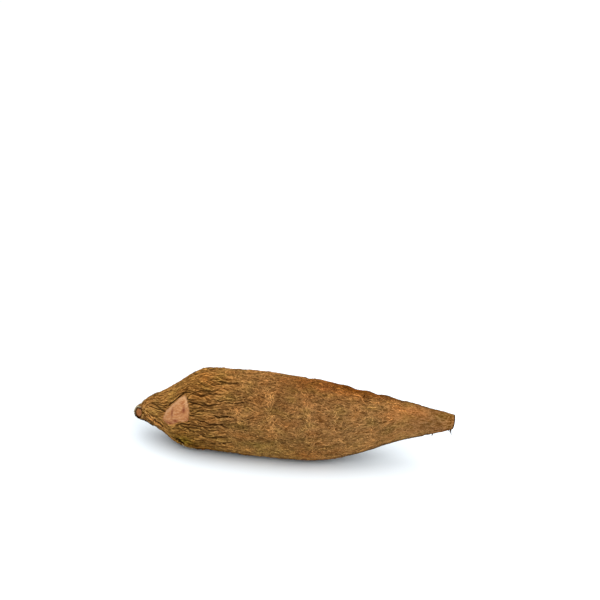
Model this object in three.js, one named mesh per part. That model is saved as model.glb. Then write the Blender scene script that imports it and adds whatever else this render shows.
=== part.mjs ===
// A whole cassava root, unpeeled, lying on its belly. It grew as one piece, so it is one solid.
// Millimetres, +Z up. Its length runs along X: the neck, where it broke off the stem, is at -X
// and the tail, cut with a knife, is at +X. An angle round the root is 0 on the front (-Y) and
// a quarter turn on top (+Z). The origin is under the middle of its box, on the ground.

import * as THREE from "three";

// Driving dimensions
const LENGTH = 248; // from the middle of the neck's scar to the middle of the tail's cut
const FLAT_DEPTH = 0.9; // taken off the belly by the spot that it rests on
const NECK_CUT_SLANT = Math.tan(THREE.MathUtils.degToRad(46)); // the neck's scar turns to -Y
const NECK_CUT_RAKE = 0.4; // how far back the scar leans, for each millimetre of height
const NECK_CUT_REACH = 11;
const TAIL_CUT_SLANT = Math.tan(THREE.MathUtils.degToRad(14)); // the tail's cut turns to +Y
const TAIL_UNDERCUT = 0.18;
const TAIL_CUT_REACH = 26;

// The body: [distance from the neck, radius, centre's y, centre's height]
const RADIUS = 1;
const CENTRE_Y = 2;
const CENTRE_Z = 3;
const STATIONS = [
  [0, 4.6, 2.0, 19.0],
  [4, 6.5, 1.9, 21.1],
  [7, 8.2, 1.7, 22.8],
  [12, 11.0, 1.5, 24.0],
  [20, 14.8, 1.1, 24.3],
  [26, 18.1, 0.9, 24.9],
  [34, 23.1, 0.6, 25.4],
  [41, 26.9, 0.4, 27.0],
  [48, 29.5, 0.2, 28.8],
  [56, 30.9, 0.1, 30.1],
  [70, 31.6, 0.0, 30.8],
  [92, 32.0, 0.0, 31.4],
  [116, 31.8, 0.1, 31.3],
  [135, 30.9, 0.2, 31.1],
  [149, 29.7, 0.4, 31.6],
  [162, 27.2, 0.6, 31.7],
  [174, 24.3, 0.9, 32.4],
  [186, 21.3, 1.4, 34.0],
  [199, 17.7, 1.9, 35.9],
  [215, 13.6, 2.9, 37.7],
  [229, 10.1, 3.7, 38.6],
  [239, 7.8, 4.5, 39.1],
  [LENGTH, 5.4, 5.2, 39.8],
];

// Swellings and dents: [distance from the neck, degrees round, height, reach along, degrees wide]
const LUMPS = [
  [165, 112, 0.9, 5, 26],
  [181, 106, 1.1, 4.5, 20],
  [196, 114, 0.9, 6, 26],
  [58, 130, 1.0, 16, 50],
  [96, -20, 0.9, 22, 45],
  [128, 40, 1.0, 18, 40],
  [150, -60, 0.6, 18, 40],
  [84, 215, 1.2, 20, 46],
  [130, 190, -1.1, 22, 40],
  [36, 250, 1.1, 12, 40],
  [52, -58, 0.5, 8, 26],
  [30, 200, 1.6, 14, 55],
  [47, 12, -0.9, 10, 40],
  [176, 215, 1.1, 16, 50],
  [205, -15, -0.7, 16, 45],
];

// Shallow grooves that run round the root, each at a distance from the neck
const RING_GROOVES = [60, 86, 109, 135, 148, 171, 190, 210, 230];
const RING_DEPTH = 0.6;
const RING_WIDTH = 1.9;
const RING_WANDER = 1.6;

// Bark cracks: furrows that run lengthwise, laid out in rows round the root
const CRACK_SEED = 7;
const CRACK_ROW = 11; // from one row to the next
const CRACK_SPACING = 8.2; // from one crack to the next in a row
const CRACK_REACH = [8, 19]; // shortest and longest, from its middle to an end
const CRACK_WIDTH = 1.7; // from its bottom to where it is a third as deep
const CRACK_DEPTH_NECK = 2.1;
const CRACK_DEPTH_TAIL = 0.8;
const CRACK_SLANT = 0.1;
const CRACK_WAVE = 0.9;
const BELLY_CALM = 0.6; // radians either side of straight down where the bark is pressed flat

// Where a piece of bark is torn off: [distance from the neck, degrees round]
const PATCH = [
  [45.5, 48],
  [36, 38],
  [30, 24],
  [28, 11],
  [29, 1],
  [32.5, -3],
  [40, 3],
  [43, 9],
  [50, 16],
  [51.5, 22],
  [51, 31],
  [48, 41],
];
const PATCH_RADIUS = 25; // turns an angle into a distance over the skin there
const PATCH_DEPTH = 1.3;
const PATCH_LIP = 0.6;
const PATCH_EDGE = 2;

// Mesh
const ROUND = 96;
const RINGS = 54;
const CAP_RINGS = [0.8, 0.45];
const NECK_SCAR_HOLLOW = 0.7;
const TAIL_CUT_HOLLOW = 0.35;
const END_CROWDING = 0.55; // how much closer together the rings are at the two ends

function smoothstep(low, high, x) {
  return THREE.MathUtils.smoothstep(x, low, high);
}

// The same run of numbers from 0 to 1 each time it is made from one seed
function randomNumbers(seed) {
  let state = seed;
  return () => {
    state = (Math.imul(state, 1664525) + 1013904223) >>> 0;
    return state / 2 ** 32;
  };
}

// A smooth curve through one column of the stations
function along(s, column) {
  const last = STATIONS.length - 1;
  let i = 0;
  while (i < last - 1 && s > STATIONS[i + 1][0]) i += 1;
  const slope = (k) => {
    const before = STATIONS[Math.max(0, k - 1)];
    const after = STATIONS[Math.min(last, k + 1)];
    return (after[column] - before[column]) / (after[0] - before[0]);
  };
  const [start, end] = [STATIONS[i], STATIONS[i + 1]];
  const span = end[0] - start[0];
  const t = THREE.MathUtils.clamp((s - start[0]) / span, 0, 1);
  const rise = t * t * (3 - 2 * t);
  const bow = t * (1 - t) ** 2 * slope(i) - t * t * (1 - t) * slope(i + 1);
  return start[column] * (1 - rise) + end[column] * rise + span * bow;
}

// How far round one direction is from another, from -pi to pi
function turn(from, to) {
  return Math.atan2(Math.sin(to - from), Math.cos(to - from));
}

function lumps(s, angle) {
  let height = 0;
  for (const [at, degrees, rise, reach, spread] of LUMPS) {
    const lengthwise = (s - at) / reach;
    const round = THREE.MathUtils.radToDeg(turn(THREE.MathUtils.degToRad(degrees), angle)) / spread;
    height += rise * Math.exp(-lengthwise * lengthwise - round * round);
  }
  return height;
}

function ringGrooves(s, angle) {
  let depth = 0;
  RING_GROOVES.forEach((at, i) => {
    const wander = RING_WANDER * (Math.sin(2 * angle + i) + 0.4 * Math.sin(5 * angle + 2 * i));
    const off = (s - at - wander) / RING_WIDTH;
    const strength = 0.55 + 0.45 * Math.sin(angle + 1.9 * i);
    depth += RING_DEPTH * strength * Math.exp(-off * off);
  });
  return depth;
}

// Where each crack lies, how long it is and how it wanders
function layCracks() {
  const random = randomNumbers(CRACK_SEED);
  const laid = [];
  for (let row = CRACK_ROW; row < LENGTH; row += CRACK_ROW) {
    const count = Math.round((2 * Math.PI * along(row, RADIUS)) / CRACK_SPACING);
    for (let k = 0; k < count; k += 1) {
      laid.push({
        at: row + CRACK_ROW * (random() - 0.5),
        angle: (2 * Math.PI * (k + 0.8 * random())) / count,
        reach: THREE.MathUtils.lerp(...CRACK_REACH, random()),
        slant: CRACK_SLANT * (2 * random() - 1),
        phase: 2 * Math.PI * random(),
        strength: 0.5 + 0.5 * random(),
      });
    }
  }
  return laid;
}

const CRACKS = layCracks();

function cracks(s, angle) {
  const radius = along(s, RADIUS);
  let deepest = 0;
  for (const crack of CRACKS) {
    const lengthwise = s - crack.at;
    if (Math.abs(lengthwise) >= crack.reach) continue;
    const wander = crack.slant * lengthwise + CRACK_WAVE * Math.sin(lengthwise / 4.5 + crack.phase);
    const off = (turn(crack.angle, angle) * radius - wander) / CRACK_WIDTH;
    const taper = Math.sqrt(1 - (lengthwise / crack.reach) ** 2);
    deepest = Math.max(deepest, crack.strength * taper * Math.exp(-off * off));
  }
  const depth = THREE.MathUtils.lerp(CRACK_DEPTH_NECK, CRACK_DEPTH_TAIL, smoothstep(60, 150, s));
  const thinEnd = smoothstep(2, 20, s) * (1 - smoothstep(LENGTH - 30, LENGTH, s));
  return depth * thinEnd * deepest;
}

// How far a point on the skin is outside the torn patch's outline, less than 0 inside it
function patchDistance(s, angle) {
  const y = turn(0, angle) * PATCH_RADIUS;
  let nearest = Infinity;
  let inside = false;
  PATCH.forEach(([x1, degrees1], i) => {
    const [x2, degrees2] = PATCH[(i + 1) % PATCH.length];
    const y1 = THREE.MathUtils.degToRad(degrees1) * PATCH_RADIUS;
    const y2 = THREE.MathUtils.degToRad(degrees2) * PATCH_RADIUS;
    const [dx, dy] = [x2 - x1, y2 - y1];
    const t = THREE.MathUtils.clamp(((s - x1) * dx + (y - y1) * dy) / (dx * dx + dy * dy), 0, 1);
    nearest = Math.min(nearest, Math.hypot(s - x1 - t * dx, y - y1 - t * dy));
    if (y1 > y !== y2 > y && s < x1 + (dx * (y - y1)) / dy) inside = !inside;
  });
  return inside ? -nearest : nearest;
}

// The bark's height above the plain body
function relief(s, angle) {
  const off = patchDistance(s, angle);
  const torn = 1 - smoothstep(-PATCH_EDGE / 2, PATCH_EDGE / 2, off);
  const lip = PATCH_LIP * Math.exp(-(((off - PATCH_EDGE) / PATCH_EDGE) ** 2));
  const belly = Math.abs(turn(-Math.PI / 2, angle)) / BELLY_CALM;
  const rough = 0.2 + 0.8 * smoothstep(0.5, 1, belly);
  const bark = lip - rough * (ringGrooves(s, angle) + cracks(s, angle));
  return lumps(s, angle) + bark * (1 - torn) - PATCH_DEPTH * torn;
}

// A point of the skin, before the root is set down on its belly
function skin(s, angle, shrink = 1) {
  const radius = shrink * (along(s, RADIUS) + relief(s, angle));
  const y = -radius * Math.cos(angle);
  const z = radius * Math.sin(angle);
  const neck = 1 - smoothstep(0, NECK_CUT_REACH, s);
  const tail = smoothstep(LENGTH - TAIL_CUT_REACH, LENGTH, s);
  const scar = along(0, RADIUS);
  const sideways = NECK_CUT_SLANT * THREE.MathUtils.clamp(y, -scar, scar);
  const neckShift = NECK_CUT_RAKE * THREE.MathUtils.clamp(z, -scar, scar) - sideways;
  const tailShift = TAIL_UNDERCUT * z - TAIL_CUT_SLANT * y;
  const x = s + neck * neckShift + tail * tailShift;
  return new THREE.Vector3(x, along(s, CENTRE_Y) + y, along(s, CENTRE_Z) + z);
}

// Rings of points from the middle of the neck's scar to the middle of the tail's cut
function rings() {
  const made = [];
  const ring = (s, shrink, hollow) => {
    const points = [];
    for (let j = 0; j < ROUND; j += 1) {
      const point = skin(s, (2 * Math.PI * j) / ROUND, shrink);
      point.x += hollow * (1 - shrink * shrink);
      points.push(point);
    }
    made.push(points);
  };
  [...CAP_RINGS].reverse().forEach((shrink) => ring(0, shrink, NECK_SCAR_HOLLOW));
  for (let i = 0; i < RINGS; i += 1) {
    const t = i / (RINGS - 1);
    ring(LENGTH * (t - (END_CROWDING * Math.sin(2 * Math.PI * t)) / (2 * Math.PI)), 1, 0);
  }
  CAP_RINGS.forEach((shrink) => ring(LENGTH, shrink, -TAIL_CUT_HOLLOW));
  return made;
}

// Sets the points down on z = 0, the lowest of them pressed flat, with the origin mid-box
function setDown(points) {
  let lowest = Infinity;
  for (const [s, radius, , height] of STATIONS) lowest = Math.min(lowest, height - radius);
  points.forEach((p) => {
    p.z = Math.max(0, p.z - lowest - FLAT_DEPTH);
  });
  const middle = new THREE.Box3().setFromPoints(points).getCenter(new THREE.Vector3());
  points.forEach((p) => {
    p.x -= middle.x;
    p.y -= middle.y;
  });
}

function rootGeometry() {
  const made = rings();
  const points = made.flat();
  const neckMiddle = points.push(skin(0, 0, 0)) - 1;
  const tailMiddle = points.push(skin(LENGTH, 0, 0)) - 1;
  points[neckMiddle].x += NECK_SCAR_HOLLOW;
  points[tailMiddle].x -= TAIL_CUT_HOLLOW;
  setDown(points);

  const triangles = [];
  const at = (i, j) => i * ROUND + (j % ROUND);
  for (let j = 0; j < ROUND; j += 1) {
    triangles.push(neckMiddle, at(0, j), at(0, j + 1));
    triangles.push(tailMiddle, at(made.length - 1, j + 1), at(made.length - 1, j));
  }
  for (let i = 0; i + 1 < made.length; i += 1) {
    for (let j = 0; j < ROUND; j += 1) {
      const [a, b, c, d] = [at(i, j), at(i + 1, j), at(i + 1, j + 1), at(i, j + 1)];
      const shorter = points[a].distanceTo(points[c]) < points[b].distanceTo(points[d]);
      triangles.push(...(shorter ? [a, b, c, a, c, d] : [a, b, d, b, c, d]));
    }
  }
  const geometry = new THREE.BufferGeometry().setFromPoints(points);
  geometry.setIndex(triangles);
  geometry.computeVertexNormals();
  return geometry;
}

const bark = new THREE.MeshStandardMaterial({ color: 0x93683a, roughness: 0.85, metalness: 0 });
const root = new THREE.Mesh(rootGeometry(), bark);
root.name = "cassava_root";

const cassava = new THREE.Group();
cassava.add(root);

export default cassava;
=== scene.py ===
"""A whole, unpeeled cassava root lying on a pale floor, in soft studio light.

The skin is made again at a finer scale than the solid that it stands for. Its body, swellings and
ring grooves have the solid's dimensions, its cracks and torn patch are drawn anew and finer, and
fibres and flecks of bark lie on it. The form is worked out in millimetres, in the root's own
measures: s is the distance from the neck and angle is the turn round the root, 0 on the front and a
quarter turn on top. It is set down in metres, in the solid's frame.
"""

import math

import bpy
import numpy as np
from mathutils import Matrix, Vector


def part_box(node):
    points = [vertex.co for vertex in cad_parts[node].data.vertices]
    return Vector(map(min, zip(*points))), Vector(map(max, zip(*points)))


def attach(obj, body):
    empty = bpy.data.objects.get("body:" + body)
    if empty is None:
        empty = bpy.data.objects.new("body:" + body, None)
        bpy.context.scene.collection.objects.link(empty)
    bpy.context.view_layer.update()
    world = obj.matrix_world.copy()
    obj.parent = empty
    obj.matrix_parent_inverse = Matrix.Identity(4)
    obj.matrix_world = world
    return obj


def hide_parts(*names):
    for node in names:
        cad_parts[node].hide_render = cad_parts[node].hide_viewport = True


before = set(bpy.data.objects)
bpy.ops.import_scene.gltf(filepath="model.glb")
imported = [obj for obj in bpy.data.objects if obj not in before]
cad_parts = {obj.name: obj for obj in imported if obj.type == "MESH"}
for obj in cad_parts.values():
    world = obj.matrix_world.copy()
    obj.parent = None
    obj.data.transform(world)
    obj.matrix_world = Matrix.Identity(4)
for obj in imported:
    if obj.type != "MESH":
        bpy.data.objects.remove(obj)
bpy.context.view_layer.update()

NODE = "cassava_root"
BODY = "root"
MM = 0.001

# Driving dimensions of the body, in millimetres
LENGTH = 248.0
FLAT_DEPTH = 0.9
NECK_CUT_SLANT = math.tan(math.radians(46))
NECK_CUT_RAKE = 0.4
NECK_CUT_REACH = 11.0
TAIL_CUT_SLANT = math.tan(math.radians(14))
TAIL_UNDERCUT = 0.18
TAIL_CUT_REACH = 26.0

# The body: distance from the neck, radius, centre's y, centre's height
RADIUS, CENTRE_Y, CENTRE_Z = 1, 2, 3
STATIONS = np.array([
    [0, 4.6, 2.0, 19.0],
    [4, 6.5, 1.9, 21.1],
    [7, 8.2, 1.7, 22.8],
    [12, 11.0, 1.5, 24.0],
    [20, 14.8, 1.1, 24.3],
    [26, 18.1, 0.9, 24.9],
    [34, 23.1, 0.6, 25.4],
    [41, 26.9, 0.4, 27.0],
    [48, 29.5, 0.2, 28.8],
    [56, 30.9, 0.1, 30.1],
    [70, 31.6, 0.0, 30.8],
    [92, 32.0, 0.0, 31.4],
    [116, 31.8, 0.1, 31.3],
    [135, 30.9, 0.2, 31.1],
    [149, 29.7, 0.4, 31.6],
    [162, 27.2, 0.6, 31.7],
    [174, 24.3, 0.9, 32.4],
    [186, 21.3, 1.4, 34.0],
    [199, 17.7, 1.9, 35.9],
    [215, 13.6, 2.9, 37.7],
    [229, 10.1, 3.7, 38.6],
    [239, 7.8, 4.5, 39.1],
    [LENGTH, 5.4, 5.2, 39.8],
])
LARGEST_RADIUS = STATIONS[:, RADIUS].max()

# Swellings and dents: distance from the neck, degrees round, height, reach along, degrees wide
LUMPS = [
    (165, 112, 0.9, 5, 26),
    (181, 106, 1.1, 4.5, 20),
    (196, 114, 0.9, 6, 26),
    (58, 130, 1.0, 16, 50),
    (96, -20, 0.9, 22, 45),
    (128, 40, 1.0, 18, 40),
    (150, -60, 0.6, 18, 40),
    (84, 215, 1.2, 20, 46),
    (130, 190, -1.1, 22, 40),
    (36, 250, 1.1, 12, 40),
    (52, -58, 0.5, 8, 26),
    (30, 200, 1.6, 14, 55),
    (47, 12, -0.9, 10, 40),
    (176, 215, 1.1, 16, 50),
    (205, -15, -0.7, 16, 45),
]

# Shallow grooves that run round the root
RING_GROOVES = [60, 86, 109, 135, 148, 171, 190, 210, 230]
RING_DEPTH = 0.6
RING_WIDTH = 1.9
RING_WANDER = 1.6
STREAK_WIDTH = 2.2  # of the band of light flecks along a groove

# Layers of lengthwise cracks. The large ones are laid out as the solid's are, then carried by the
# grain's flow, and are narrower and less deep. Depths are at the neck's half and the tail's half.
CRACK_LAYERS = {
    "large": dict(seed=7, row=11, spacing=8.2, reach=(8, 19), slant=0.1, wave=0.9, bend=4.5,
                  width=0.5, depths=(1.0, 0.3)),
    "middle": dict(seed=11, row=5.5, spacing=3.6, reach=(4, 10), slant=0.16, wave=0.7, bend=1.9,
                   width=0.46, depths=(0.85, 0.3)),
    "small": dict(seed=23, row=4.2, spacing=2.4, reach=(2, 5.5), slant=0.3, wave=0.35, bend=1.1,
                  width=0.4, depths=(0.5, 0.36)),
}
EDGE_SHARE = 0.22  # of a crack's depth, by which its edges rise

# Radians either side of straight down where the bark is pressed flat
BELLY_CALM = 0.6

# Longer cracks of their own: width, depth, darkness of the painted shade in them, then distances
# from the neck with degrees
PLACED_CRACKS = [
    (0.8, 2.2, 1.65, [(47.5, 56), (44.5, 51.5), (39.7, 46.5), (34.9, 41), (31, 33)]),
    (0.52, 1.3, 1.15, [(48.5, 36), (52, 34.8), (56.5, 32.8), (62, 31.2), (67, 31)]),
    (0.52, 1.2, 1.15, [(48, 47.6), (52.5, 47.2), (56.5, 51.2), (59.7, 52.4), (65.3, 52), (71, 49)]),
    (0.5, 1.1, 1.15, [(57, 41), (60, 43.5), (65, 47.6), (71.7, 48.4), (78, 48.8)]),
    (0.52, 1.2, 1.15, [(43, -2), (46, -0.4), (50.5, -4), (54.5, -8.8), (58, -12)]),
    (0.52, 1.3, 1.15, [(57, -14), (60.5, -16), (67, -16.4), (74, -14), (82, -11.6)]),
    (0.5, 1.2, 1.15, [(62, -32), (66.5, -30.8), (76.5, -27.6), (84, -23)]),
    (2.1, 1.8, 2.5, [(38.5, -31), (40.8, -35.5), (43, -40), (45.2, -44)]),
    (0.7, 1.6, 1.15, [(13, -6), (16.8, -8), (21.2, -11.5), (25.8, -16), (29, -18)]),
    (0.55, 1.2, 1.15, [(66, 66), (72, 69), (80, 67), (88, 70)]),
    (0.55, 1.2, 1.15, [(70, 20), (76, 16), (84, 19), (90, 16)]),
    (0.55, 1.1, 1.15, [(64, 8), (70, 5), (78, 6), (85, 2)]),
]
PLACED_WAVER = 0.35
PLACED_EDGE_RISE = 0.22
# Painted shade: where a crack is painted as dark as the slit
SLIT_DARKNESS = (1.1, 1.5)  # from where a crack starts to look as dark as the slit, to where it does

# Where a piece of bark is torn off: distance from the neck, degrees round
PATCH = [
    (45.5, 48), (36, 38), (30, 24), (28, 11), (28.5, 1), (32.5, -3),
    (40, 2), (44.5, 6), (50.5, 5.5), (52, 12), (52, 23), (50.5, 32), (48, 43),
]
PATCH_RADIUS = 25.0
PATCH_DEPTH = 1.1
PATCH_LIP = 0.6
PATCH_EDGE = 2.0
PATCH_STEP = 0.8

# Red-brown marks on the torn patch: distance from the neck, degrees, reach along, degrees wide
STAINS = [(36.2, 21, 0.8, 9), (47, 24, 1.3, 5), (39.5, 6, 2.4, 3), (34, 0, 3.4, 2.2)]

# Mesh of the skin, its rows closest together at the neck and the torn patch
ROWS = 231
COLUMNS = 400
TURN_STEP = 2 * math.pi / COLUMNS
S = np.interp(np.arange(ROWS), [0, 75, 165, ROWS - 1], [0, 60, 150, LENGTH])
A = np.arange(COLUMNS) * TURN_STEP
CAP_RINGS = np.array([0.93, 0.85, 0.74, 0.62, 0.48, 0.34, 0.2, 0.08])
NECK_SCAR_HOLLOW = 1.1
TAIL_CUT_HOLLOW = 0.35


def smoothstep(low, high, x):
    """A smooth rise from 0 at low to 1 at high."""
    t = np.clip((x - low) / (high - low), 0, 1)
    return t * t * (3 - 2 * t)


def turn(start, end):
    """How far round one direction is from another, from -pi to pi."""
    return (end - start + math.pi) % (2 * math.pi) - math.pi


def along(s, column):
    """A smooth curve through one column of the stations."""
    at, value = STATIONS[:, 0], STATIONS[:, column]
    slope = np.empty_like(value)
    slope[1:-1] = (value[2:] - value[:-2]) / (at[2:] - at[:-2])
    slope[0] = (value[1] - value[0]) / (at[1] - at[0])
    slope[-1] = (value[-1] - value[-2]) / (at[-1] - at[-2])
    i = np.clip(np.searchsorted(at, s) - 1, 0, len(at) - 2)
    span = at[i + 1] - at[i]
    t = np.clip((s - at[i]) / span, 0, 1)
    rise = t * t * (3 - 2 * t)
    bow = t * (1 - t) ** 2 * slope[i] - t * t * (1 - t) * slope[i + 1]
    return value[i] * (1 - rise) + value[i + 1] * rise + span * bow


def lumps(s, angle):
    """How far the swellings and dents lift each point."""
    height = 0
    for at, degrees, rise, reach, spread in LUMPS:
        round_ = np.degrees(turn(math.radians(degrees), angle)) / spread
        height = height + rise * np.exp(-((s - at) / reach) ** 2 - round_ ** 2)
    return height


def ring_grooves(s, angle, width=RING_WIDTH):
    """How deep each point lies in a ring groove, as a share of the grooves' depth."""
    depth = 0
    for i, at in enumerate(RING_GROOVES):
        wander = RING_WANDER * (np.sin(2 * angle + i) + 0.4 * np.sin(5 * angle + 2 * i))
        strength = 0.55 + 0.45 * np.sin(angle + 1.9 * i)
        depth = depth + strength * np.exp(-((s - at - wander) / width) ** 2)
    return depth


class Numbers:
    """The same run of numbers from 0 to 1 each time it is made from one seed."""

    def __init__(self, seed):
        self.state = seed

    def __call__(self):
        self.state = (self.state * 1664525 + 1013904223) % 2 ** 32
        return self.state / 2 ** 32


def lay_cracks(layer):
    """Where each crack of a layer lies, how long it is and how it wanders."""
    random = Numbers(layer["seed"])
    low, high = layer["reach"]
    laid = []
    row = layer["row"]
    while row < LENGTH:
        count = int(2 * math.pi * float(along(row, RADIUS)) / layer["spacing"] + 0.5)
        for k in range(count):
            laid.append(dict(
                at=row + layer["row"] * (random() - 0.5),
                angle=2 * math.pi * (k + 0.8 * random()) / count,
                reach=low + (high - low) * random(),
                slant=layer["slant"] * (2 * random() - 1),
                phase=2 * math.pi * random(),
                strength=0.5 + 0.5 * random(),
            ))
        row += layer["row"]
    return laid


def carve(layer):
    """A layer's cracks on the grid: how deep each point lies in one, and how near it is to an edge."""
    deep = np.zeros((ROWS, COLUMNS))
    edge = np.zeros((ROWS, COLUMNS))
    radius = along(S, RADIUS)
    for crack in lay_cracks(layer):
        first, last = np.searchsorted(S, [crack["at"] - crack["reach"], crack["at"] + crack["reach"]])
        if last - first < 2:
            continue
        lengthwise = S[first:last] - crack["at"]
        taper = np.sqrt(1 - (lengthwise / crack["reach"]) ** 2) * crack["strength"]
        wander = crack["slant"] * lengthwise
        wander = wander + layer["wave"] * np.sin(lengthwise / layer["bend"] + crack["phase"])
        across = (np.abs(wander).max() + 3 * layer["width"] + 1.5) / radius[first:last].min()
        half = min(int(across / TURN_STEP) + 2, COLUMNS // 2 - 1)
        middle = round(crack["angle"] / TURN_STEP)
        columns = np.arange(middle - half, middle + half + 1)
        cells = np.ix_(np.arange(first, last), columns % COLUMNS)
        off = (columns * TURN_STEP - crack["angle"])[None, :] * radius[first:last, None]
        off = np.abs(off + FLOW[cells] - wander[:, None]) / layer["width"]
        deep[cells] = np.maximum(deep[cells], taper[:, None] * np.exp(-off ** 2))
        edge[cells] = np.maximum(edge[cells], taper[:, None] * np.exp(-(off - 1.8) ** 2 / 0.4))
    return deep, edge


def lattice_noise(s, angle, length, count, seed):
    """Smooth noise from about -1 to 1, in cells that close up round the root without a seam."""
    rows = int((LENGTH + 40) / length) + 3
    direction = np.random.default_rng(seed).uniform(0, 2 * math.pi, (rows, count))
    u = (s + 20) / length
    v = angle / (2 * math.pi) % 1 * count
    i, j = np.floor(u).astype(int), np.floor(v).astype(int)
    fu, fv = u - i, v - j
    smooth_u, smooth_v = (f ** 3 * (f * (6 * f - 15) + 10) for f in (fu, fv))
    corner = {}
    for di in (0, 1):
        for dj in (0, 1):
            d = direction[(i + di) % rows, (j + dj) % count]
            corner[di, dj] = np.cos(d) * (fu - di) + np.sin(d) * (fv - dj)
    low = corner[0, 0] * (1 - smooth_v) + corner[0, 1] * smooth_v
    high = corner[1, 0] * (1 - smooth_v) + corner[1, 1] * smooth_v
    return 1.6 * (low * (1 - smooth_u) + high * smooth_u)


GRAIN_RADII = (32, 16, 8)


def grain(s, angle, length, width, seed):
    """Noise in cells of about one length and width all over, though the root gets thinner."""
    s, angle = np.broadcast_arrays(s, angle)
    level = np.clip(np.log2(GRAIN_RADII[0] / along(s, RADIUS)), 0, len(GRAIN_RADII) - 1)
    total = np.zeros(s.shape)
    for k, radius in enumerate(GRAIN_RADII):
        weight = np.clip(1 - np.abs(level - k), 0, 1)
        count = max(3, round(2 * math.pi * radius / width))
        total += weight * lattice_noise(s, angle, length, count, seed + 100 * k)
    return total


def flow(s, angle):
    """How far, in millimetres, the bark's grain is carried round the root at each point."""
    return 1.7 * grain(s, angle, 21, 12, 61) + 0.9 * grain(s, angle, 7.5, 6, 62)


FLOW = flow(S[:, None], A[None, :])


def path_depth(s, angle, width, path):
    """How deep each point lies in a crack along a path, from 0 to 1, and how near it is to its edge."""
    radius = float(along(np.mean([at for at, _ in path]), RADIUS))
    s, y = np.broadcast_arrays(s, turn(0, angle) * radius)
    corners = np.array([(at, math.radians(degrees) * radius) for at, degrees in path])
    steps = np.hypot(*np.diff(corners, axis=0).T)
    gone = np.concatenate([[0], np.cumsum(steps)])
    nearest = np.full(s.shape, np.inf)
    place = np.zeros(s.shape)
    for k, ((x1, y1), (x2, y2)) in enumerate(zip(corners, corners[1:])):
        dx, dy = x2 - x1, y2 - y1
        part = np.clip(((s - x1) * dx + (y - y1) * dy) / (dx * dx + dy * dy), 0, 1)
        away = np.hypot(s - x1 - part * dx, y - y1 - part * dy)
        place = np.where(away < nearest, (gone[k] + part * steps[k]) / gone[-1], place)
        nearest = np.minimum(nearest, away)
    taper = np.clip(6 * place * (1 - place), 0.12, 1)
    off = nearest / (width * np.sqrt(taper))
    return taper * np.exp(-off ** 2), taper * np.exp(-(off - 1.9) ** 2 / 0.5)


def patch_distance(s, angle):
    """How far a point on the skin is outside the torn patch's outline, less than 0 inside it."""
    y = turn(0, angle) * PATCH_RADIUS
    s, y = np.broadcast_arrays(s, y)
    nearest = np.full(s.shape, np.inf)
    inside = np.zeros(s.shape, bool)
    corners = [(at, math.radians(degrees) * PATCH_RADIUS) for at, degrees in PATCH]
    for (x1, y1), (x2, y2) in zip(corners, corners[1:] + corners[:1]):
        dx, dy = x2 - x1, y2 - y1
        t = np.clip(((s - x1) * dx + (y - y1) * dy) / (dx * dx + dy * dy), 0, 1)
        nearest = np.minimum(nearest, np.hypot(s - x1 - t * dx, y - y1 - t * dy))
        inside ^= ((y1 > y) != (y2 > y)) & (s < x1 + dx * (y - y1) / dy)
    return np.where(inside, -nearest, nearest)


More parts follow.
